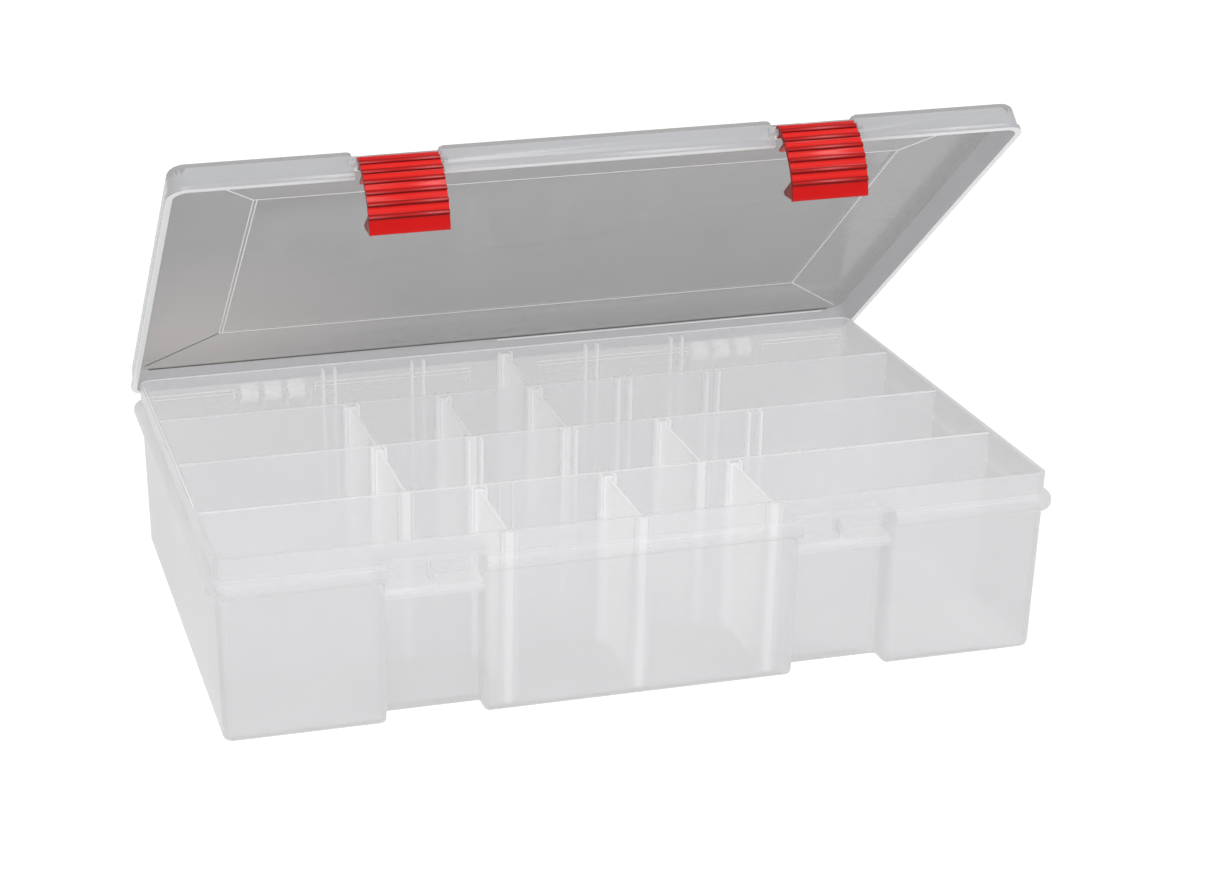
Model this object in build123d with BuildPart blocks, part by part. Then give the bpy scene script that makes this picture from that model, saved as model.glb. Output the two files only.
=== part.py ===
from build123d import *
import os

os.makedirs("parts", exist_ok=True)

# All sizes in millimetres. +X runs along the long front, +Y to the hinges, +Z up.
# The origin is the centre of the tray's underside. The lid is modelled shut and
# then turned about the hinge axis to the angle at which it stands.

# Tray: a thin box whose walls lean out a little up to an upright collar
tray_length = 345.0
tray_width = 212.0
tray_height = 79.0
tray_corner = 5.0
collar_height = 8.6
wall_lean = 1.0
base_edge_radius = 3.0
wall = 2.0
floor_thickness = 2.0

# Rounded bead outside the walls, just under the collar
bead_out = 3.5
bead_height = 7.5
bead_nose_radius = 3.4
bead_centre_gap = 32.0
bead_end_gap = 1.5

# Fixed long walls: clear depth of rows 1 to 3 from the back, row 4 gets the rest
row_depths = (49.0, 52.4, 52.4)
long_wall = 1.8
long_wall_drop = 1.0

# Slots: pairs of ribs on every wall face
rib = 1.2
rib_depth = 2.6
rib_drop = 0.2
slot_gap = 4.4
slot_pitch = 42.3
slots_each_side = 2
front_slot_x = 55.0

# Latch bays in the front wall, each with a catch bar and a gusset
bay_x = 85.5
bay_width = 40.0
bay_depth = 13.0
bay_top_drop = 1.0
bay_edge_radius = 2.5
bar_drop = 12.2
bar_height = 4.0
bar_inset = 1.5
bar_chamfer = 2.0
gusset = 1.6
gusset_height = 9.3

# Hinges: a rod on brackets behind the tray, hooks on the lid
hinge_x = 110.0
hinge_width = 35.0
hinge_drop = 4.8
hinge_wall_gap = 1.1
hinge_rod_radius = 1.5
hinge_running_clearance = 0.1
bracket = 2.0
bracket_count = 4
bracket_radius = 2.4
bracket_foot_drop = 7.7
hook_wall = 1.4
hook_side_clearance = 0.6
hook_mouth = 2.4

# Lid
lid_open_angle = 40.0
lid_gap = 0.3
ceiling_clearance = 2.4
skirt_clearance = 0.9
skirt = 2.0
skirt_draft = 1.0
lid_plate = 1.8
lid_edge_radius = 3.0
rim_out = 0.6
rim_height = 2.4
rim_edge_radius = 0.5
panel_inset = 38.5
panel_rise = 0.8
panel_step = 0.4
panel_step_inset = 1.5
hip_margin = 3.0

# Latch notches in the lid: a shallow pocket with a pivot rod across its mouth
notch_width = 35.2
notch_corner = 3.0
pocket_depth = 8.5
pocket_floor = 1.4
pocket_clearance = 0.35
pivot_drop = 2.6
pivot_rod_radius = 1.3
ear_radius = 1.8
ear_length = 2.0

# Latches
latch_side_clearance = 1.7
latch_running_clearance = 0.1
latch_ring_wall = 1.2
latch_collar_gap = 0.5
latch_mouth = 2.0
latch_plate = 1.7
latch_top_rise = 0.6
latch_top_taper = 1.4
latch_bulge = 5.4
latch_tip = 1.6
latch_tip_taper = 0.6
hook_reach = 2.2
hook_gap = 0.4
hook_height = 6.0
hook_tip = 1.6
stop_drop = 7.0
stop_gap = 0.7
stop_height = 1.2
ridge = 1.5
ridge_out = 0.7
ridge_count = 6
ridge_pitch = 4.6
ridge_drop = 1.3

# Removable dividers
divider_web = 1.5
divider_bead_depth = 2.2
divider_side_clearance = 0.3
divider_end_clearance = 0.35
divider_floor_clearance = 0.3
divider_drop = 1.0

# How far a cutter runs past what it cuts, and a piece sinks into what it stands on
overrun = 15.0
root = 1.0

# Places worked out from the sizes above
half_length = tray_length / 2
half_width = tray_width / 2
ledge_z = tray_height - collar_height
draft = wall_lean / ledge_z
inner_half = half_width - wall
long_wall_top_z = tray_height - long_wall_drop
rib_top_z = long_wall_top_z - rib_drop
long_wall_ys = [
    inner_half - sum(row_depths[:k]) - (k - 0.5) * long_wall for k in range(1, len(row_depths) + 1)
]
slot_xs = [slot_pitch * k for k in range(-slots_each_side, slots_each_side + 1)]
front_slot_xs = [-front_slot_x, 0.0, front_slot_x]

bay_back_y = -half_width + bay_depth
bay_top_z = ledge_z - bay_top_drop
bar_top_z = ledge_z - bar_drop
bar_bottom_z = bar_top_z - bar_height
bar_front_y = -half_width + bar_inset

hook_ring_radius = hinge_rod_radius + hinge_running_clearance + hook_wall
hinge_y = half_width + hinge_wall_gap + hook_ring_radius
hinge_z = ledge_z - hinge_drop
hinge_axis = Axis((0, hinge_y, hinge_z), (-1, 0, 0))
hook_pitch = (hinge_width - bracket) / (bracket_count - 1)
hook_width = hook_pitch - bracket - 2 * hook_side_clearance

rim_z = ledge_z + lid_gap
ceiling_z = tray_height + ceiling_clearance
shoulder_z = ceiling_z + lid_plate
skirt_half_length = half_length + skirt_clearance + skirt
skirt_half_width = half_width + skirt_clearance + skirt
skirt_corner = tray_corner + skirt_clearance + skirt

latch_ring_radius = pivot_rod_radius + latch_running_clearance + latch_ring_wall
pivot_y = -half_width - latch_collar_gap - latch_ring_radius
pivot_z = tray_height - pivot_drop
latch_width = notch_width - 2 * latch_side_clearance


# The bead stops at the bays, at both hinges and at the middle of the back
with BuildPart() as bead_ring:
    with BuildSketch(Plane.XY.offset(ledge_z - bead_height)):
        RectangleRounded(tray_length + 2 * bead_out, tray_width + 2 * bead_out, tray_corner + bead_out)
    extrude(amount=bead_height)
    nose = min(bead_nose_radius, 0.48 * bead_height)
    fillet(bead_ring.faces().sort_by(Axis.Z)[-1].edges(), nose)
    fillet(bead_ring.faces().sort_by(Axis.Z)[0].edges(), nose)
    gaps = [(x, -half_width, bay_width) for x in (-bay_x, bay_x)]
    gaps += [(x, half_width, hinge_width + 2 * bead_end_gap) for x in (-hinge_x, hinge_x)]
    gaps += [(0, half_width, bead_centre_gap)]
    for x, y, width in gaps:
        with Locations((x, y, ledge_z - bead_height / 2)):
            Box(width, 2 * overrun, bead_height + 2 * root, mode=Mode.SUBTRACT)

# The hollow of the tray, with every inner wall and rib left out of it
with BuildPart() as hollow:
    floor_lean = (ledge_z - floor_thickness) * draft
    with BuildSketch(Plane.XY.offset(floor_thickness)):
        RectangleRounded(
            2 * (half_length - wall - floor_lean),
            2 * (inner_half - floor_lean),
            tray_corner - wall - floor_lean,
        )
    with BuildSketch(Plane.XY.offset(ledge_z)) as collar_inside:
        RectangleRounded(2 * (half_length - wall), 2 * inner_half, tray_corner - wall)
    loft()
    extrude(collar_inside.sketch, amount=collar_height + overrun)
    for y in long_wall_ys:
        with Locations((0, y, long_wall_top_z / 2)):
            Box(tray_length, long_wall, long_wall_top_z, mode=Mode.SUBTRACT)
    # the walls of the bays, seen from inside
    for x in (-bay_x, bay_x):
        with Locations((x, bay_back_y + wall - overrun, (bay_top_z + wall) / 2)):
            Box(bay_width + 2 * wall, 2 * overrun, bay_top_z + wall, mode=Mode.SUBTRACT)
    # rib pairs on both faces of each long wall
    for row, y in enumerate(long_wall_ys, start=1):
        for side in (-1, 1):
            faces_row_4 = row == len(row_depths) and side == -1
            for x in front_slot_xs if faces_row_4 else slot_xs:
                for s in (-1, 1):
                    rib_x = x + s * (slot_gap + rib) / 2
                    rib_y = y + side * (long_wall + rib_depth) / 2
                    with Locations((rib_x, rib_y, rib_top_z / 2)):
                        Box(rib, rib_depth, rib_top_z, mode=Mode.SUBTRACT)
    # rib pairs on the back and front walls, which lean
    for side, xs in ((1, slot_xs), (-1, front_slot_xs)):
        for x in xs:
            for s in (-1, 1):
                with BuildSketch(Plane.YZ.offset(x + s * (slot_gap + rib) / 2 - rib / 2)):
                    Polygon(
                        (side * (inner_half + root), 0),
                        (side * (inner_half - wall_lean - rib_depth), 0),
                        (side * (inner_half - rib_depth), ledge_z),
                        (side * (inner_half - rib_depth), rib_top_z),
                        (side * (inner_half + root), rib_top_z),
                        align=None,
                    )
                extrude(amount=rib, mode=Mode.SUBTRACT)

with BuildPart() as tray:
    with BuildSketch():
        RectangleRounded(tray_length - 2 * wall_lean, tray_width - 2 * wall_lean, tray_corner - wall_lean)
    with BuildSketch(Plane.XY.offset(ledge_z)) as collar_outside:
        RectangleRounded(tray_length, tray_width, tray_corner)
    loft()
    fillet(tray.faces().sort_by(Axis.Z)[0].edges(), base_edge_radius)
    extrude(collar_outside.sketch, amount=collar_height)
    # bays cut in from the front, with rounded upright edges
    for x in (-bay_x, bay_x):
        with BuildSketch():
            with Locations((x, bay_back_y - overrun)):
                Rectangle(bay_width, 2 * overrun)
        extrude(amount=bay_top_z, mode=Mode.SUBTRACT)
        sides = (x - bay_width / 2, x + bay_width / 2)
        upright = [
            e for e in tray.edges()
            if e.bounding_box().size.Z > 0.5 * bay_top_z
            and e.center().Y < bay_back_y + root
            and min(abs(e.center().X - side) for side in sides) < root
        ]
        fillet(upright, bay_edge_radius)
    add(bead_ring.part)
    add(hollow.part, mode=Mode.SUBTRACT)
    for x in (-bay_x, bay_x):
        bar_root_y = bay_back_y + wall / 2
        with BuildSketch(Plane.YZ.offset(x - bay_width / 2 - wall / 2)):
            Polygon(
                (bar_root_y, bar_bottom_z),
                (bar_front_y, bar_bottom_z),
                (bar_front_y, bar_top_z - bar_chamfer),
                (bar_front_y + bar_chamfer, bar_top_z),
                (bar_root_y, bar_top_z),
                align=None,
            )
        extrude(amount=bay_width + wall)
        with BuildSketch(Plane.YZ.offset(x - gusset / 2)):
            Polygon(
                (bar_root_y, bar_top_z - root),
                (bar_front_y + bar_chamfer, bar_top_z - root),
                (bar_front_y + bar_chamfer, bar_top_z),
                (bay_back_y, bar_top_z + gusset_height),
                (bar_root_y, bar_top_z + gusset_height),
                align=None,
            )
        extrude(amount=gusset)
    # hinge brackets and rods
    for x in (-hinge_x, hinge_x):
        for k in range(bracket_count):
            bracket_x = x + (k / (bracket_count - 1) - 0.5) * (hinge_width - bracket)
            with BuildSketch(Plane.YZ.offset(bracket_x - bracket / 2)):
                Polygon(
                    (half_width - wall / 2, hinge_z - bracket_foot_drop),
                    (hinge_y, hinge_z - bracket_radius),
                    (hinge_y, hinge_z + bracket_radius),
                    (half_width - wall / 2, hinge_z + bracket_radius),
                    align=None,
                )
                with Locations((hinge_y, hinge_z)):
                    Circle(bracket_radius)
            extrude(amount=bracket)
        with BuildSketch(Plane.YZ.offset(x - hinge_width / 2)):
            with Locations((hinge_y, hinge_z)):
                Circle(hinge_rod_radius)
        extrude(amount=hinge_width)
tray.part.label = "tray"
export_step(tray.part, "parts/tray.step")


# Lid, shut: its shell, then the bead round its rim
with BuildPart() as lid_shell:
    with BuildSketch(Plane.XY.offset(rim_z)):
        RectangleRounded(2 * skirt_half_length, 2 * skirt_half_width, skirt_corner)
    with BuildSketch(Plane.XY.offset(shoulder_z)):
        RectangleRounded(
            2 * (skirt_half_length - skirt_draft),
            2 * (skirt_half_width - skirt_draft),
            skirt_corner - skirt_draft,
        )
    loft()
    fillet(lid_shell.faces().sort_by(Axis.Z)[-1].edges(), lid_edge_radius)

with BuildPart() as lid_rim:
    with BuildSketch(Plane.XY.offset(rim_z)):
        RectangleRounded(
            2 * (skirt_half_length + rim_out), 2 * (skirt_half_width + rim_out), skirt_corner + rim_out
        )
    extrude(amount=rim_height)
    fillet(lid_rim.faces().sort_by(Axis.Z)[-1].edges(), rim_edge_radius)

# The raised panel: a very shallow hip from the lid's edges, then a small step
with BuildPart() as hip:
    hip_inset = skirt_draft + lid_edge_radius + hip_margin
    panel_edge = panel_inset + panel_step_inset
    with BuildSketch(Plane.XY.offset(shoulder_z)):
        Rectangle(2 * (skirt_half_length - hip_inset), 2 * (skirt_half_width - hip_inset))
    with BuildSketch(Plane.XY.offset(shoulder_z + panel_rise)):
        Rectangle(2 * (skirt_half_length - panel_inset), 2 * (skirt_half_width - panel_inset))
    loft()
    with BuildSketch(Plane.XY.offset(shoulder_z + panel_rise)):
        Rectangle(2 * (skirt_half_length - panel_edge), 2 * (skirt_half_width - panel_edge))
    extrude(amount=panel_step)

with BuildPart() as lid_hollow:
    inside_draft = skirt_draft / 2
    with BuildSketch(Plane.XY.offset(rim_z)):
        RectangleRounded(
            2 * (skirt_half_length - skirt), 2 * (skirt_half_width - skirt), skirt_corner - skirt
        )
    with BuildSketch(Plane.XY.offset(ceiling_z)):
        RectangleRounded(
            2 * (skirt_half_length - skirt - inside_draft),
            2 * (skirt_half_width - skirt - inside_draft),
            skirt_corner - skirt - inside_draft,
        )
    loft()
    add(hip.part.moved(Location((0, 0, -lid_plate))))

with BuildPart() as lid_shut:
    add(lid_shell.part)
    add(lid_rim.part)
    add(hip.part)
    add(lid_hollow.part, mode=Mode.SUBTRACT)
    # a pocket behind each latch: a lower floor, a back wall and two side walls
    pocket_front_y = -half_width - skirt_clearance
    pocket_back_y = -half_width + pocket_depth
    pocket_floor_z = tray_height + pocket_clearance
    notch_front_y = -skirt_half_width - rim_out - root
    notch_top_z = shoulder_z + panel_rise + root
    for x in (-bay_x, bay_x):
        # the notch, whose top corners are rounded outwards
        with BuildSketch(Plane.XZ.offset(-notch_front_y)):
            with Locations((x, (rim_z + notch_top_z) / 2)):
                Rectangle(notch_width, notch_top_z - rim_z)
            with Locations((x, (shoulder_z - notch_corner + notch_top_z) / 2)):
                Rectangle(notch_width + 2 * notch_corner, notch_top_z - shoulder_z + notch_corner)
            for s in (-1, 1):
                with Locations((x + s * (notch_width / 2 + notch_corner), shoulder_z - notch_corner)):
                    Circle(notch_corner, mode=Mode.SUBTRACT)
        extrude(amount=notch_front_y - pocket_back_y, mode=Mode.SUBTRACT)
        floor_length = pocket_back_y + pocket_floor - pocket_front_y
        with Locations((x, pocket_front_y + floor_length / 2, pocket_floor_z + pocket_floor / 2)):
            Box(notch_width + 2 * pocket_floor, floor_length, pocket_floor)
        with Locations((x, pocket_back_y + pocket_floor / 2, (pocket_floor_z + shoulder_z) / 2)):
            Box(notch_width + 2 * pocket_floor, pocket_floor, shoulder_z - pocket_floor_z)
        for s in (-1, 1):
            side_x = x + s * (notch_width + pocket_floor) / 2
            side_top_z = shoulder_z - root
            with Locations((side_x, (pocket_front_y + pocket_back_y) / 2, (pocket_floor_z + side_top_z) / 2)):
                Box(pocket_floor, pocket_back_y - pocket_front_y, side_top_z - pocket_floor_z)
            # the ear that holds the rod
            with BuildSketch(Plane.YZ.offset(x + s * (notch_width + ear_length) / 2 - ear_length / 2)):
                with Locations((pivot_y, pivot_z)):
                    Circle(ear_radius)
            extrude(amount=ear_length)
        with BuildSketch(Plane.YZ.offset(x - notch_width / 2 - root)):
            with Locations((pivot_y, pivot_z)):
                Circle(pivot_rod_radius)
        extrude(amount=notch_width + 2 * root)
    # hinge hooks, one between each two brackets, open at the foot to snap on the rod
    for x in (-hinge_x, hinge_x):
        for k in range(bracket_count - 1):
            hook_x = x + (k - (bracket_count - 2) / 2) * hook_pitch
            with BuildSketch(Plane.YZ.offset(hook_x - hook_width / 2)):
                with Locations((hinge_y, hinge_z)):
                    Circle(hook_ring_radius)
                Polygon(
                    (hinge_y - hook_ring_radius, hinge_z),
                    (hinge_y - hook_ring_radius, rim_z + rim_height),
                    (skirt_half_width, rim_z + rim_height),
                    (hinge_y, hinge_z + hook_ring_radius),
                    align=None,
                )
                with Locations((hinge_y, hinge_z)):
                    Circle(hinge_rod_radius + hinge_running_clearance, mode=Mode.SUBTRACT)
                with Locations((hinge_y, hinge_z - hook_ring_radius)):
                    Rectangle(hook_mouth, 2 * hook_ring_radius, mode=Mode.SUBTRACT)
            extrude(amount=hook_width)

with BuildPart() as lid:
    add(lid_shut.part.rotate(hinge_axis, lid_open_angle))
lid.part.label = "lid"
export_step(lid.part, "parts/lid.step")


# Latches, shut, then turned with the lid. The curve of the plate bulges outwards.
latch_hook_top_z = bar_bottom_z - hook_gap
latch_foot_z = latch_hook_top_z - hook_height - latch_tip
latch_top = (pivot_y - latch_ring_radius, pivot_z + latch_top_rise)
latch_foot = (pivot_y, latch_foot_z)
latch_middle = (pivot_y - latch_bulge, (latch_top[1] + latch_foot_z) / 2)
inner_top = (latch_top[0] + latch_plate, latch_top[1] - latch_top_taper)
inner_foot = (latch_foot[0] + latch_plate, latch_foot[1] + latch_tip_taper)
inner_middle = (latch_middle[0] + latch_plate, latch_middle[1])
for name, x in (("latch_left", -bay_x), ("latch_right", bay_x)):
    with BuildPart() as latch_shut:
        with BuildSketch(Plane.YZ.offset(x - latch_width / 2)):
            with BuildLine():
                outside = ThreePointArc(latch_top, latch_middle, latch_foot)
                Line(latch_foot, inner_foot)
                ThreePointArc(inner_foot, inner_middle, inner_top)
                Line(inner_top, latch_top)
            make_face()
            with Locations((pivot_y, pivot_z)):
                Circle(latch_ring_radius)
            # the hook that goes under the catch bar, and the short stop above it
            hook_tip_y = bar_front_y + hook_reach
            Polygon(
                (latch_middle[0] + latch_plate, latch_hook_top_z),
                (hook_tip_y, latch_hook_top_z),
                (hook_tip_y, latch_hook_top_z - hook_tip),
                (inner_foot[0], latch_hook_top_z - hook_height),
                (latch_foot[0] - latch_tip_taper, latch_hook_top_z - hook_height),
                align=None,
            )
            stop_tip_y = -half_width - stop_gap
            stop_root_y = latch_middle[0] + latch_plate / 2
            with Locations(((stop_root_y + stop_tip_y) / 2, pivot_z - stop_drop)):
                Rectangle(stop_tip_y - stop_root_y, stop_height)
            with Locations((pivot_y, pivot_z)):
                Circle(pivot_rod_radius + latch_running_clearance, mode=Mode.SUBTRACT)
            with Locations((pivot_y + latch_ring_radius, pivot_z)):
                Rectangle(2 * latch_ring_radius, latch_mouth, mode=Mode.SUBTRACT)
        extrude(amount=latch_width)
        # ridges across the outside, half sunk in the curve
        for k in range(ridge_count):
            ridge_z = pivot_z - ridge_drop - k * ridge_pitch
            on_curve = outside.intersect(Axis((pivot_y - overrun, ridge_z), (1, 0)))
            ridge_y = on_curve.X if isinstance(on_curve, Vector) else on_curve[0].center().X
            with BuildSketch(Plane.YZ.offset(x - latch_width / 2)):
                with Locations((ridge_y, ridge_z)):
                    Rectangle(2 * ridge_out, ridge)
            extrude(amount=latch_width)
    with BuildPart() as latch:
        add(latch_shut.part.rotate(hinge_axis, lid_open_angle))
    latch.part.label = name
    export_step(latch.part, "parts/" + name + ".step")


# Removable dividers, named by row from the back and slot from the left
dividers = (
    ("divider_row1_slot3", 1, slot_xs[2]),
    ("divider_row2_slot1", 2, slot_xs[0]),
    ("divider_row2_slot2", 2, slot_xs[1]),
    ("divider_row2_slot3", 2, slot_xs[2]),
    ("divider_row3_slot1", 3, slot_xs[0]),
    ("divider_row3_slot4", 3, slot_xs[3]),
    ("divider_row4_left", 4, front_slot_xs[0]),
    ("divider_row4_middle", 4, front_slot_xs[1]),
    ("divider_row4_right", 4, front_slot_xs[2]),
)
divider_bottom_z = floor_thickness + divider_floor_clearance
divider_top_z = long_wall_top_z - divider_drop
divider_bead = slot_gap - 2 * divider_side_clearance
end_lean = (ledge_z - divider_bottom_z) * draft
for name, row, x in dividers:
    # the far and near edges, at the top; those on the outer walls lean in to the foot
    far_lean = end_lean if row == 1 else 0
    near_lean = end_lean if row == len(row_depths) + 1 else 0
    far_top = (inner_half if row == 1 else long_wall_ys[row - 2] - long_wall / 2) - divider_end_clearance
    near_top = (-inner_half if near_lean else long_wall_ys[row - 1] + long_wall / 2) + divider_end_clearance
    far_foot = far_top - far_lean
    near_foot = near_top + near_lean
    with BuildPart() as divider:
        with BuildSketch(Plane.YZ.offset(x - divider_web / 2)):
            Polygon(
                (near_foot, divider_bottom_z),
                (far_foot, divider_bottom_z),
                (far_top, ledge_z),
                (far_top, divider_top_z),
                (near_top, divider_top_z),
                (near_top, ledge_z),
                align=None,
            )
        extrude(amount=divider_web)
        for foot, top, inward in ((near_foot, near_top, 1), (far_foot, far_top, -1)):
            with BuildSketch(Plane.YZ.offset(x - divider_bead / 2)):
                Polygon(
                    (foot, divider_bottom_z),
                    (foot + inward * divider_bead_depth, divider_bottom_z),
                    (top + inward * divider_bead_depth, ledge_z),
                    (top + inward * divider_bead_depth, divider_top_z),
                    (top, divider_top_z),
                    (top, ledge_z),
                    align=None,
                )
            extrude(amount=divider_bead)
    divider.part.label = name
    export_step(divider.part, "parts/" + name + ".step")
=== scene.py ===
import math
import bmesh
import bpy
from mathutils import Matrix, Vector


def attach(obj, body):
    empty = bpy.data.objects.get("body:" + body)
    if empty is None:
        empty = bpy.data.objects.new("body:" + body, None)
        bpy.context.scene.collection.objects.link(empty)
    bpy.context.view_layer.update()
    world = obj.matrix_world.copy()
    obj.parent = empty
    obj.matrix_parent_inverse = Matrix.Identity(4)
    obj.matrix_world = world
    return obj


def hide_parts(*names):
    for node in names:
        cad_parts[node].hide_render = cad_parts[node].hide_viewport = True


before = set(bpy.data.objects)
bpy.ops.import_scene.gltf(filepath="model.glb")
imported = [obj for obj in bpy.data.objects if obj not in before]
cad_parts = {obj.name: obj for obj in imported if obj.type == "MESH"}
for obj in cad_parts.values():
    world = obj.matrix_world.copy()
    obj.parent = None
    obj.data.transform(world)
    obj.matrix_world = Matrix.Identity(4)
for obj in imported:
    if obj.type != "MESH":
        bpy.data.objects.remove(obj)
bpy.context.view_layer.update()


# The tray: one moulding of clear, slightly milky polypropylene. Its collar, bead, fixed long
# walls and rib pairs come out of the same tool, and every edge leaves it a little rounded.
weld_gap, flat_within = 2e-6, math.radians(0.2)
sharp_from, rounded_from = math.radians(30), math.radians(38)
# the places of a piece's plastics in its list
plain, edge, rib = 0, 1, 2


def moulded(node_name, piece_name, plastics, pick, edge_round, slim=0, faint=None):
    """The node's shape with its edges rounded off. Its plastics are a plain one, one for edges and
    perhaps a third. Each face gets the one that pick(face, slender) says, where a slender face has sharp
    edges and is narrower than slim. The roundings get the one for edges, or the plain one where
    faint(centre) holds. The one for edges is a paler copy, a painted highlight, on the clear pieces, and
    a darker one, painted shade, on the latches."""
    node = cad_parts[node_name]
    shape = bmesh.new()
    shape.from_mesh(node.data)
    bmesh.ops.remove_doubles(shape, verts=shape.verts, dist=weld_gap)
    bmesh.ops.dissolve_limit(shape, angle_limit=flat_within, use_dissolve_boundaries=False,
                             verts=shape.verts, edges=shape.edges, delimit=set())
    for face in shape.faces:
        sharp = any(side.calc_face_angle(0) > sharp_from for side in face.edges)
        narrow = 2 * face.calc_area() / face.calc_perimeter() < slim
        face.material_index = pick(face, sharp and narrow)
    mesh = bpy.data.meshes.new(piece_name)
    for plastic in plastics:
        mesh.materials.append(plastic)
    shape.to_mesh(mesh)
    shape.free()
    piece = bpy.data.objects.new(piece_name, mesh)
    bpy.context.collection.objects.link(piece)
    bevel = piece.modifiers.new("edges", "BEVEL")
    bevel.limit_method = "ANGLE"
    bevel.angle_limit = rounded_from
    bevel.width = edge_round
    bevel.segments = 2
    bevel.material = edge
    depsgraph = bpy.context.evaluated_depsgraph_get()
    dressed = bpy.data.meshes.new_from_object(piece.evaluated_get(depsgraph))
    piece.modifiers.clear()
    piece.data = dressed
    for face in dressed.polygons:
        if faint and face.material_index == edge and faint(face.center):
            face.material_index = plain
    dressed.set_sharp_from_angle(angle=sharp_from)
    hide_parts(node_name)
    body = node_name
    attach(piece, body)


darkest_cloud, palest_cloud, light_patch_full = 0.93, 1.05, 0.03


def clear_plastic(name, colour, solid_share, edge_share, roughness, shade_share, painted_light=None):
    """A clear plastic that is slightly milky and clouded. solid_share is how solid it looks straight on
    and edge_share at a slant, and shade_share is the part of that which holds light back. The optional
    pale patch is painted light: a paler colour, the middle of the place that has it and how far it
    reaches from there."""
    plastic = bpy.data.materials.new(name)
    plastic.use_nodes = True
    nodes, links = plastic.node_tree.nodes, plastic.node_tree.links
    shader = nodes["Principled BSDF"]
    shader.inputs["Roughness"].default_value = roughness
    shader.inputs["IOR"].default_value = 1.49
    place = nodes.new("ShaderNodeTexCoord")
    cloud = nodes.new("ShaderNodeTexNoise")
    cloud.inputs["Scale"].default_value = 16
    cloud.inputs["Detail"].default_value = 5
    links.new(place.outputs["Object"], cloud.inputs["Vector"])
    tint = nodes.new("ShaderNodeMix")
    tint.data_type = "RGBA"
    tint.inputs["A"].default_value = (*(darkest_cloud * c for c in colour), 1)
    tint.inputs["B"].default_value = (*(min(1, palest_cloud * c) for c in colour), 1)
    links.new(cloud.outputs["Fac"], tint.inputs["Factor"])
    links.new(tint.outputs["Result"], shader.inputs["Base Color"])
    # a paler patch of painted light, fading out from its middle
    if painted_light:
        light_patch_colour, light_patch_place, light_patch_reach = painted_light
        away = nodes.new("ShaderNodeVectorMath")
        away.operation = "DISTANCE"
        away.inputs[1].default_value = light_patch_place
        links.new(place.outputs["Object"], away.inputs[0])
        near = nodes.new("ShaderNodeMapRange")
        near.inputs["From Min"].default_value = light_patch_reach
        near.inputs["From Max"].default_value = light_patch_full
        links.new(away.outputs["Value"], near.inputs["Value"])
        light_patch = nodes.new("ShaderNodeMix")
        light_patch.data_type = "RGBA"
        light_patch.inputs["B"].default_value = (*light_patch_colour, 1)
        links.new(near.outputs["Result"], light_patch.inputs["Factor"])
        links.new(tint.outputs["Result"], light_patch.inputs["A"])
        links.new(light_patch.outputs["Result"], shader.inputs["Base Color"])
    # more plastic is in the line of sight at a slant
    rim = nodes.new("ShaderNodeLayerWeight")
    rim.inputs["Blend"].default_value = 0.35
    share = nodes.new("ShaderNodeMapRange")
    share.inputs["To Min"].default_value = solid_share
    share.inputs["To Max"].default_value = edge_share
    links.new(rim.outputs["Facing"], share.inputs["Value"])
    # light passes through the milky plastic more than sight does
    path = nodes.new("ShaderNodeLightPath")
    is_light = nodes.new("ShaderNodeMath")
    is_light.operation = "MAXIMUM"
    links.new(path.outputs["Is Shadow Ray"], is_light.inputs[0])
    links.new(path.outputs["Is Diffuse Ray"], is_light.inputs[1])
    pass_light = nodes.new("ShaderNodeMapRange")
    pass_light.inputs["To Min"].default_value = 1
    pass_light.inputs["To Max"].default_value = shade_share
    links.new(is_light.outputs["Value"], pass_light.inputs["Value"])
    both = nodes.new("ShaderNodeMath")
    both.operation = "MULTIPLY"
    both.use_clamp = True
    links.new(share.outputs["Result"], both.inputs[0])
    links.new(pass_light.outputs["Result"], both.inputs[1])
    links.new(both.outputs["Value"], shader.inputs["Alpha"])
    # a fine grain from the tool
    grain = nodes.new("ShaderNodeTexNoise")
    grain.inputs["Scale"].default_value = 900
    grain.inputs["Detail"].default_value = 2
    links.new(place.outputs["Object"], grain.inputs["Vector"])
    bump = nodes.new("ShaderNodeBump")
    bump.inputs["Strength"].default_value = 0.12
    bump.inputs["Distance"].default_value = 0.0002
    links.new(grain.outputs["Fac"], bump.inputs["Height"])
    links.new(bump.outputs["Normal"], shader.inputs["Normal"])
    return plastic


bay_x, half_bay, bay_back_y = 0.0855, 0.02, -0.09
gusset_reach, bay_wall_reach = 0.0015, 0.0026
inside_x, inside_y, behind_y = 0.16, 0.1025, 0.1062
wall_tops_z, rim_z = 0.072, 0.0785
front_y, front_rim_z = -0.1, 0.078
straight, slanting = 0.9, 0.5


def pick_for_tray(face, slender):
    """The ribs inside and the ends and tops of what stands out behind get the palest painted highlight,
    then the tops of the fixed long walls. The rim and the two bays are plain."""
    centre = face.calc_center_median()
    from_bay = abs(abs(centre.x) - bay_x)
    at_bay = from_bay < gusset_reach or abs(from_bay - half_bay) < bay_wall_reach
    if at_bay and centre.y < bay_back_y:
        return plain
    if centre.y > behind_y:
        return rib if face.normal.z > slanting or abs(face.normal.x) > straight else plain
    inside = abs(centre.x) < inside_x and abs(centre.y) < inside_y
    if slender and inside and face.normal.z < straight:
        return rib
    return edge if wall_tops_z < centre.z < rim_z and face.normal.z > straight else plain


def front_rim_or_gusset(centre):
    """Where the roundings get no painted highlight, as they look no paler than the walls."""
    at_gusset = abs(abs(centre.x) - bay_x) < gusset_reach
    return centre.y < front_y and (centre.z > front_rim_z or at_gusset)


# The edge and rib plastics are paler, more solid copies of the tray's: painted highlights where the clear
# plastic catches the light along its edges, wall tops, ribs and fine lines.
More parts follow.
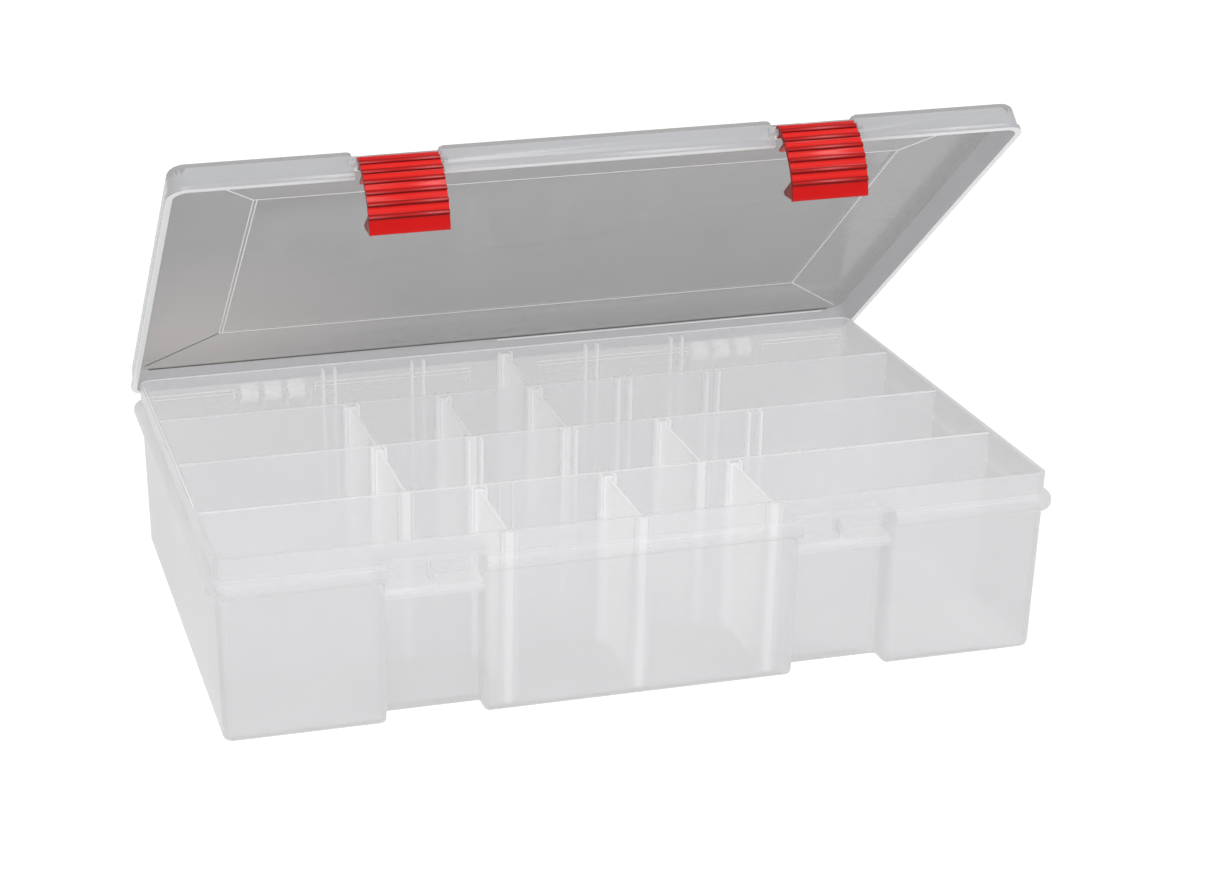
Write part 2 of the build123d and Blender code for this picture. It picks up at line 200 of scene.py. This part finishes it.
tray_faces = clear_plastic("tray clear plastic", (0.76, 0.76, 0.775), solid_share=0.27, edge_share=0.72,
                           roughness=0.3, shade_share=0.1)
tray_edge_highlight = clear_plastic("tray edge plastic, painted highlight", (0.92, 0.92, 0.93), solid_share=0.5, edge_share=0.85,
                           roughness=0.22, shade_share=0.1)
rib_highlight = clear_plastic("tray rib plastic, painted highlight", (0.90, 0.90, 0.915), solid_share=0.66, edge_share=0.9,
                          roughness=0.22, shade_share=0.1)
moulded("tray", "tray_moulding", (tray_faces, tray_edge_highlight, rib_highlight), pick_for_tray,
        edge_round=0.0004, slim=0.0027, faint=front_rim_or_gusset)


# The lid: one moulding of the same plastic, painted a darker grey where it stands raised, as painted
# shade. Its skirt, stepped panel, latch pockets, pivot rods and six snap hooks come out of one tool with
# its plate.
hinge_y, hinge_z, lid_angle = 0.1101, 0.0656, math.radians(40)
hook_reach, skirt_top_z = 0.0045, 0.0795
skirt = 2


def pick_for_lid(face, slender):
    """The lid's plate is clear, its skirt is painted paler as painted light, and its rim and its hooks
    are painted pale as a highlight.
    """
    centre = face.calc_center_median()
    out_y, out_z = centre.y - hinge_y, centre.z - hinge_z
    if math.hypot(out_y, out_z) < hook_reach:
        return edge
    shut_z = hinge_z + out_z * math.cos(lid_angle) + out_y * math.sin(lid_angle)
    if shut_z > skirt_top_z:
        return plain
    down = -face.normal.z * math.cos(lid_angle) - face.normal.y * math.sin(lid_angle)
    return edge if down > straight else skirt


# Painted light: a warm pale patch on the lid near its left rear corner.
warm_light_patch = ((0.52, 0.49, 0.475), (-0.165, 0.10, 0.085), 0.12)
# The plate is painted a darker grey than the tray: painted shade under the raised lid.
lid_shaded_faces = clear_plastic("lid clear plastic, painted shade", (0.38, 0.37, 0.37), solid_share=0.54, edge_share=0.58,
                          roughness=0.14, shade_share=0.35, painted_light=warm_light_patch)
# The rim, hooks and pale lines of the lid get a painted highlight, and its skirt paler painted light.
lid_edge_highlight = clear_plastic("lid edge plastic, painted highlight", (0.97, 0.97, 0.98), solid_share=0.7, edge_share=0.95,
                          roughness=0.2, shade_share=0.3)
lid_lit_skirt = clear_plastic("lid skirt plastic, painted light", (0.50, 0.505, 0.525), solid_share=0.54, edge_share=0.8,
                          roughness=0.2, shade_share=0.5)
moulded("lid", "lid_moulding", (lid_shaded_faces, lid_edge_highlight, lid_lit_skirt), pick_for_lid,
        edge_round=0.0004)


# Fine lines that show in the clear plastic where it turns a corner. On the lid they run along the panel
# and its mitres, and where the plate turns down at the back, and on the tray they mark the rim and the
# bead behind. Each is a thin bead swept from point to point and half sunk in the plastic. The pale beads
# are painted highlights and the dark ones painted shade.
beading = bpy.data.node_groups.new("beading", "GeometryNodeTree")
beading.interface.new_socket("Geometry", in_out="INPUT", socket_type="NodeSocketGeometry")
radius_socket = beading.interface.new_socket("Bead radius", in_out="INPUT", socket_type="NodeSocketFloat")
finish_socket = beading.interface.new_socket("Finish", in_out="INPUT", socket_type="NodeSocketMaterial")
beading.interface.new_socket("Geometry", in_out="OUTPUT", socket_type="NodeSocketGeometry")
start, end = beading.nodes.new("NodeGroupInput"), beading.nodes.new("NodeGroupOutput")
to_curve = beading.nodes.new("GeometryNodeMeshToCurve")
section = beading.nodes.new("GeometryNodeCurvePrimitiveCircle")
section.inputs["Resolution"].default_value = 8
sweep = beading.nodes.new("GeometryNodeCurveToMesh")
sweep.inputs["Fill Caps"].default_value = True
real = beading.nodes.new("GeometryNodeRealizeInstances")
painted = beading.nodes.new("GeometryNodeSetMaterial")
beading.links.new(start.outputs["Geometry"], to_curve.inputs["Mesh"])
beading.links.new(start.outputs["Bead radius"], section.inputs["Radius"])
beading.links.new(to_curve.outputs["Curve"], sweep.inputs["Curve"])
beading.links.new(section.outputs["Curve"], sweep.inputs["Profile Curve"])
beading.links.new(sweep.outputs["Mesh"], real.inputs["Geometry"])
beading.links.new(real.outputs["Geometry"], painted.inputs["Geometry"])
beading.links.new(start.outputs["Finish"], painted.inputs["Material"])
beading.links.new(painted.outputs["Geometry"], end.inputs["Geometry"])


def fine_lines(name, node_name, ends, radius, finish):
    """Beads between pairs of points. Those of the lid are given shut, and put where it now stands."""
    hinge = Vector((0, hinge_y, hinge_z))
    opened = Matrix.Rotation(-lid_angle if node_name == "lid" else 0, 3, "X")
    points = [opened @ (Vector(point) - hinge) + hinge for pair in ends for point in pair]
    mesh = bpy.data.meshes.new(name)
    mesh.from_pydata(points, [(2 * k, 2 * k + 1) for k in range(len(ends))], [])
    lines = bpy.data.objects.new(name, mesh)
    bpy.context.collection.objects.link(lines)
    modifier = lines.modifiers.new("beading", "NODES")
    modifier.node_group = beading
    modifier[radius_socket.identifier] = radius
    modifier[finish_socket.identifier] = finish
    depsgraph = bpy.context.evaluated_depsgraph_get()
    beads = bpy.data.meshes.new_from_object(lines.evaluated_get(depsgraph))
    lines.modifiers.clear()
    lines.data = beads
    body = node_name
    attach(lines, body)


# Pale beads along the lid's panel and mitres: painted highlights.
panel_x, panel_y, panel_z, panel_step = 0.1369, 0.0704, 0.0822, 0.0015
hip_x, hip_y, hip_z = 0.1684, 0.1019, 0.0814
short_lines = [((x, -panel_y, panel_z), (x, panel_y, panel_z))
               for x in (-panel_x, panel_step - panel_x, panel_x)]
long_lines = [((-panel_x, j * panel_y, panel_z), (panel_x, j * panel_y, panel_z)) for j in (-1, 1)]
mitres = [((i * panel_x, j * panel_y, panel_z), (i * hip_x, j * hip_y, hip_z))
          for i, j in ((-1, 1), (-1, -1), (1, -1), (1, 1))]
panel_bead, long_bead, mitre_bead = 0.00026, 0.00015, 0.0002
# A dark bead, painted shade, along the left mitre and the back corner where the plate turns down.
lid_shade_line = clear_plastic("lid painted shade line", (0.11, 0.105, 0.105), solid_share=0.85, edge_share=0.9,
                           roughness=0.3, shade_share=0.3)
fine_lines("lid_panel_highlights", "lid", short_lines + mitres[1:], panel_bead, lid_edge_highlight)
fine_lines("lid_long_highlights", "lid", long_lines, long_bead, lid_edge_highlight)
fine_lines("lid_left_mitre_shade", "lid", mitres[:1], mitre_bead, lid_shade_line)

corner_x, corner_y, corner_z, corner_bead = 0.1665, 0.1064, 0.0814, 0.00042
corner_shade_line = ((-corner_x, corner_y, corner_z), (corner_x, corner_y, corner_z))
# A pale bead under the back corner on the right half: a painted highlight.
skirt_line_x, skirt_line_y, skirt_line_z, skirt_bead = 0.164, 0.1067, 0.0804, 0.00035
skirt_line = ((0, skirt_line_y, skirt_line_z), (skirt_line_x, skirt_line_y, skirt_line_z))
fine_lines("lid_skirt_highlight", "lid", [skirt_line], skirt_bead, lid_edge_highlight)
fine_lines("lid_corner_shade_line", "lid", [corner_shade_line], corner_bead, lid_shade_line)

# Pale beads along the tray's back wall: painted highlights.
back_y, back_top_z, back_low_z, back_end_z, back_bead = 0.104, 0.0712, 0.0694, 0.0668, 0.00022
back_end_x, hinge_out_x, hinge_in_x, gap_x = 0.168, 0.129, 0.091, 0.016
back_runs = ((-back_end_x, -hinge_out_x), (-hinge_in_x, -gap_x),
             (gap_x, hinge_in_x), (hinge_out_x, back_end_x))
back_lines = [((a, back_y, z), (b, back_y, z)) for a, b in back_runs for z in (back_top_z, back_low_z)]
back_ends = [((i * x, back_y, back_top_z), (i * x, back_y, back_end_z))
             for i in (-1, 1) for x in (hinge_out_x, hinge_in_x)]
fine_lines("tray_back_highlights", "tray", back_lines + back_ends, back_bead, rib_highlight)

# A pale bead round the tray's rim: a painted highlight.
rim_x, rim_y, rim_top_z, rim_start_y = 0.1715, 0.105, 0.079, -0.05
rim_corner, rim_turns, rim_bead = 0.004, 6, 0.0003
turn_x, turn_y = rim_x - rim_corner, rim_y - rim_corner
turns = [math.radians(90) * k / rim_turns for k in range(rim_turns + 1)]
left_turn = [(-turn_x - rim_corner * math.cos(turn), turn_y + rim_corner * math.sin(turn), rim_top_z)
             for turn in turns]
right_turn = [(-x, y, z) for x, y, z in reversed(left_turn)]
rim = [(-rim_x, rim_start_y, rim_top_z)] + left_turn + right_turn
fine_lines("tray_rim_highlight", "tray", list(zip(rim, rim[1:])), rim_bead, rib_highlight)


# The two snap latches, each moulded in one piece of red plastic and clipped on a rod of the lid. It lets
# a little light through, so it is painted brightest where the plate is thin, as painted light, and a
# painted shade line runs along both sides of each of its six finger ridges.
first_ridge_z, ridge_pitch, ridge_half, ridge_count = 0.0751, 0.0046, 0.00075, 6
ridge_foot = 1.5 * ridge_half
shade_line_from, shade_line_to, lit_from, most_lit_from = -0.03, 0.05, 0.16, 0.9


def red_plastic(name, thick_red, ridge_reds):
    """A red plastic with a band of reds from ridge to ridge, holding painted shade lines and paler
    painted light, and one red above and below them.
    """
    plastic = bpy.data.materials.new(name)
    plastic.use_nodes = True
    nodes, links = plastic.node_tree.nodes, plastic.node_tree.links
    shader = nodes["Principled BSDF"]
    shader.inputs["Roughness"].default_value = 0.25
    shader.inputs["Specular IOR Level"].default_value = 0.25
    place = nodes.new("ShaderNodeTexCoord")
    # turned back by the lid's angle, so that Z runs up the latch
    shut = nodes.new("ShaderNodeMapping")
    shut.inputs["Rotation"].default_value = (lid_angle, 0, 0)
    turned = Matrix.Rotation(lid_angle, 3, "X") @ Vector((0, hinge_y, hinge_z))
    shut.inputs["Location"].default_value = Vector((0, hinge_y, hinge_z)) - turned
    links.new(place.outputs["Object"], shut.inputs["Vector"])
    split = nodes.new("ShaderNodeSeparateXYZ")
    links.new(shut.outputs["Vector"], split.inputs["Vector"])
    below = nodes.new("ShaderNodeMath")
    below.operation = "SUBTRACT"
    below.inputs[0].default_value = first_ridge_z
    links.new(split.outputs["Z"], below.inputs[1])
    # from the middle of a ridge, at 0, to halfway to the next, at 1
    from_ridge = nodes.new("ShaderNodeMath")
    from_ridge.operation = "PINGPONG"
    from_ridge.inputs[1].default_value = ridge_pitch / 2
    links.new(below.outputs["Value"], from_ridge.inputs[0])
    across = nodes.new("ShaderNodeMapRange")
    across.inputs["From Max"].default_value = ridge_pitch / 2
    links.new(from_ridge.outputs["Value"], across.inputs["Value"])
    # painted shade lines at the sides of each ridge, and paler painted light between the ridges
    bands = nodes.new("ShaderNodeValToRGB")
    side_at = 2 * ridge_half / ridge_pitch
    stops = bands.color_ramp.elements
    for at in (side_at + shade_line_from, side_at + shade_line_to, side_at + lit_from, most_lit_from):
        stops.new(at)
    top_red, shade_line_red, lit_red, most_lit_red = ridge_reds
    for stop, red in zip(stops, (top_red, shade_line_red, shade_line_red, lit_red, most_lit_red, most_lit_red)):
        stop.color = (*red, 1)
    links.new(across.outputs["Result"], bands.inputs["Fac"])
    # above the first ridge and below the last the plastic is thick
    after_first = nodes.new("ShaderNodeMath")
    after_first.operation = "GREATER_THAN"
    after_first.inputs[1].default_value = -ridge_foot
    links.new(below.outputs["Value"], after_first.inputs[0])
    before_last = nodes.new("ShaderNodeMath")
    before_last.operation = "LESS_THAN"
    before_last.inputs[1].default_value = (ridge_count - 1) * ridge_pitch + ridge_foot
    links.new(below.outputs["Value"], before_last.inputs[0])
    ridged = nodes.new("ShaderNodeMath")
    ridged.operation = "MULTIPLY"
    links.new(after_first.outputs["Value"], ridged.inputs[0])
    links.new(before_last.outputs["Value"], ridged.inputs[1])
    tint = nodes.new("ShaderNodeMix")
    tint.data_type = "RGBA"
    tint.inputs["A"].default_value = (*thick_red, 1)
    links.new(ridged.outputs["Value"], tint.inputs["Factor"])
    links.new(bands.outputs["Color"], tint.inputs["B"])
    links.new(tint.outputs["Result"], shader.inputs["Base Color"])
    return plastic


def pick_for_latch(face, slender):
    """The sides of the latch are dark: a deeper red where one looks into the most plastic, and painted
    shade besides.
    """
    return edge if abs(face.normal.x) > straight else plain


# The bands of the faces hold painted shade lines and painted light.
latch_faces = red_plastic("latch red plastic", (0.58, 0.0, 0.0), (
    (0.52, 0.0, 0.0), (0.22, 0.0, 0.0), (0.64, 0.003, 0.002), (0.74, 0.014, 0.01)))
# The sides: painted shade, and a deeper red where one looks into more plastic.
latch_shaded_sides = red_plastic("latch red shaded side", (0.26, 0.0, 0.0), (
    (0.26, 0.0, 0.0), (0.2, 0.0, 0.0), (0.26, 0.0, 0.0), (0.26, 0.0, 0.0)))
for side in ("left", "right"):
    moulded(f"latch_{side}", f"latch_{side}_moulding", (latch_faces, latch_shaded_sides),
            pick_for_latch, edge_round=0.0003)


# The nine removable dividers: thin webs moulded in the tray's plastic, with a bead down each end that
# slides between two ribs. Their webs are painted paler than the tray's walls as painted light, and their
# narrow faces get the ribs' painted highlight.
def pick_for_divider(face, slender):
    return rib if slender else plain


# Painted light: the webs are whiter than the tray's walls.
divider_lit_faces = clear_plastic("divider plastic, painted light", (0.98, 0.98, 0.99), solid_share=0.66,
                              edge_share=0.95, roughness=0.3, shade_share=0.1)
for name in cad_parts:
    if name.startswith("divider_"):
        moulded(name, f"{name}_moulding", (divider_lit_faces, rib_highlight, rib_highlight),
                pick_for_divider, edge_round=0.0004, slim=0.0023)


# A pale studio floor that runs out to white. Where it is seen it glows a little, and less so
# through the clear plastic, and it keeps the shadow of the box.
floor_half = 6
floor_corners = [(i * floor_half, j * floor_half, 0) for i, j in ((-1, -1), (1, -1), (1, 1), (-1, 1))]
floor_mesh = bpy.data.meshes.new("studio_floor")
floor_mesh.from_pydata(floor_corners, [], [(0, 1, 2, 3)])
floor = bpy.data.objects.new("studio_floor", floor_mesh)
bpy.context.collection.objects.link(floor)
floor_paint = bpy.data.materials.new("floor white")
floor_paint.use_nodes = True
nodes, links = floor_paint.node_tree.nodes, floor_paint.node_tree.links
paint = nodes["Principled BSDF"]
paint.inputs["Roughness"].default_value = 0.9
paint.inputs["Specular IOR Level"].default_value = 0
paint.inputs["Emission Color"].default_value = (1, 1, 1, 1)
path = nodes.new("ShaderNodeLightPath")
seen = nodes.new("ShaderNodeMath")
seen.operation = "MAXIMUM"
links.new(path.outputs["Is Camera Ray"], seen.inputs[0])
links.new(path.outputs["Is Glossy Ray"], seen.inputs[1])
seen_all = nodes.new("ShaderNodeMath")
seen_all.operation = "MAXIMUM"
links.new(seen.outputs["Value"], seen_all.inputs[0])
links.new(path.outputs["Is Transmission Ray"], seen_all.inputs[1])
lift = nodes.new("ShaderNodeMapRange")
lift.inputs["To Min"].default_value = 0.72
lift.inputs["To Max"].default_value = 0.15
links.new(path.outputs["Transparent Depth"], lift.inputs["Value"])
glow = nodes.new("ShaderNodeMath")
glow.operation = "MULTIPLY"
links.new(seen_all.outputs["Value"], glow.inputs[0])
links.new(lift.outputs["Result"], glow.inputs[1])
links.new(glow.outputs["Value"], paint.inputs["Emission Strength"])
cover = nodes.new("ShaderNodeMix")
cover.data_type = "RGBA"
cover.inputs["A"].default_value = (0.85, 0.85, 0.85, 1)
cover.inputs["B"].default_value = (0.45, 0.45, 0.45, 1)
links.new(seen_all.outputs["Value"], cover.inputs["Factor"])
links.new(cover.outputs["Result"], paint.inputs["Base Color"])
floor_mesh.materials.append(floor_paint)


# Plain soft light: a wide panel over the front left, a small one on the right whose sheen falls on
# the right latch, and an even room that is white where it is seen.
world = bpy.data.worlds.new("studio")
bpy.context.scene.world = world
world.use_nodes = True
nodes, links = world.node_tree.nodes, world.node_tree.links
room = nodes["Background"]
room.inputs["Color"].default_value = (1, 1, 1, 1)
path = nodes.new("ShaderNodeLightPath")
level = nodes.new("ShaderNodeMapRange")
level.inputs["To Min"].default_value = 0.7
level.inputs["To Max"].default_value = 1.0
links.new(path.outputs["Is Camera Ray"], level.inputs["Value"])
links.new(level.outputs["Result"], room.inputs["Strength"])


def soft_panel(name, place, aim, size, power):
    lamp = bpy.data.lights.new(name, "AREA")
    lamp.shape = "SQUARE"
    lamp.size = size
    lamp.energy = power
    panel = bpy.data.objects.new(name, lamp)
    bpy.context.collection.objects.link(panel)
    panel.location = place
    panel.rotation_euler = (Vector(aim) - Vector(place)).to_track_quat("-Z", "Y").to_euler()


soft_panel("panel_front", (-0.55, -1.2, 1.6), (0, 0, 0.05), 0.9, 12.5)
soft_panel("panel_right", (0.80, -0.79, 1.70), (0.0855, -0.06, 0.2), 0.42, 6)


# The camera stands in front, to the left and above the box, and looks down over the tray into the
# raised lid, as in the photograph. Its lens and shifts are worked out from a frame 1210 pixels wide.
image_px, focal_px, shift_px = 1210, 2479.14, (221.57, 98.91)
camera_place, sensor_mm = (-0.29511, -0.96231, 0.45981), 36
yaw, pitch, roll = (math.radians(turn) for turn in (12.44, -23.39, -1.06))
ahead = Vector((math.sin(yaw) * math.cos(pitch), math.cos(yaw) * math.cos(pitch), math.sin(pitch)))
level_right = Vector((math.cos(yaw), -math.sin(yaw), 0))
level_up = level_right.cross(ahead)
right = level_right * math.cos(roll) + level_up * math.sin(roll)
up = level_up * math.cos(roll) - level_right * math.sin(roll)
camera_data = bpy.data.cameras.new("camera")
camera_data.sensor_width = sensor_mm
camera_data.lens = focal_px * sensor_mm / image_px
camera_data.shift_x, camera_data.shift_y = (px / image_px for px in shift_px)
camera_data.clip_start, camera_data.clip_end = 0.05, 50
camera = bpy.data.objects.new("camera", camera_data)
bpy.context.collection.objects.link(camera)
camera_turn = Matrix((right, up, -ahead)).transposed()
camera.matrix_world = Matrix.Translation(camera_place) @ camera_turn.to_4x4()
scene = bpy.context.scene
scene.camera = camera
scene.view_settings.view_transform = "Standard"
scene.cycles.transparent_max_bounces = 64
